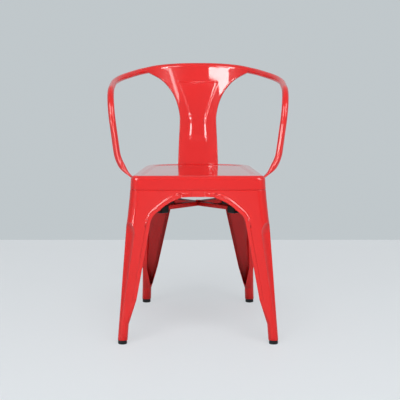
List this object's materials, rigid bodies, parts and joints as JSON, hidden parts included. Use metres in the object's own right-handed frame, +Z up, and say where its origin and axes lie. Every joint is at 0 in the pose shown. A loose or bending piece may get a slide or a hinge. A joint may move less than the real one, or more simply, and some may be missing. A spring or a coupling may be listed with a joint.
{
  "type": "stacking armchair",
  "caption": "Stacking metal armchair: square dished seat, four splayed fluted legs, cross braces, one bent tube for arms and back, and a flared back splat.",
  "frame": {"origin": "on the floor, midway between the four feet", "axes": "+Z up, the front faces -Y, the sitter's left is +X"},
  "size_m": [0.4905, 0.5082, 0.7165],
  "materials": {
    "red_paint": "gloss",
    "black_plastic": "satin",
    "rivet_steel": "gloss"
  },
  "bodies": {
    "root": {"seat_pan": "red_paint", "leg_front_left": "red_paint", "leg_front_right": "red_paint", "leg_rear_left": "red_paint", "leg_rear_right": "red_paint", "rail_front": "red_paint", "rail_rear": "red_paint", "rail_side_left": "red_paint", "rail_side_right": "red_paint", "arm_back_tube": "red_paint", "back_splat": "red_paint", "brace_lower": "red_paint", "brace_upper": "red_paint", "brace_rivet": "rivet_steel", "bumper_front_left": "black_plastic", "bumper_front_right": "black_plastic", "bumper_rear_left": "black_plastic", "bumper_rear_right": "black_plastic", "foot_cap_front_left": "black_plastic", "foot_cap_front_right": "black_plastic", "foot_cap_rear_left": "black_plastic", "foot_cap_rear_right": "black_plastic"}
  },
  "joints": []
}
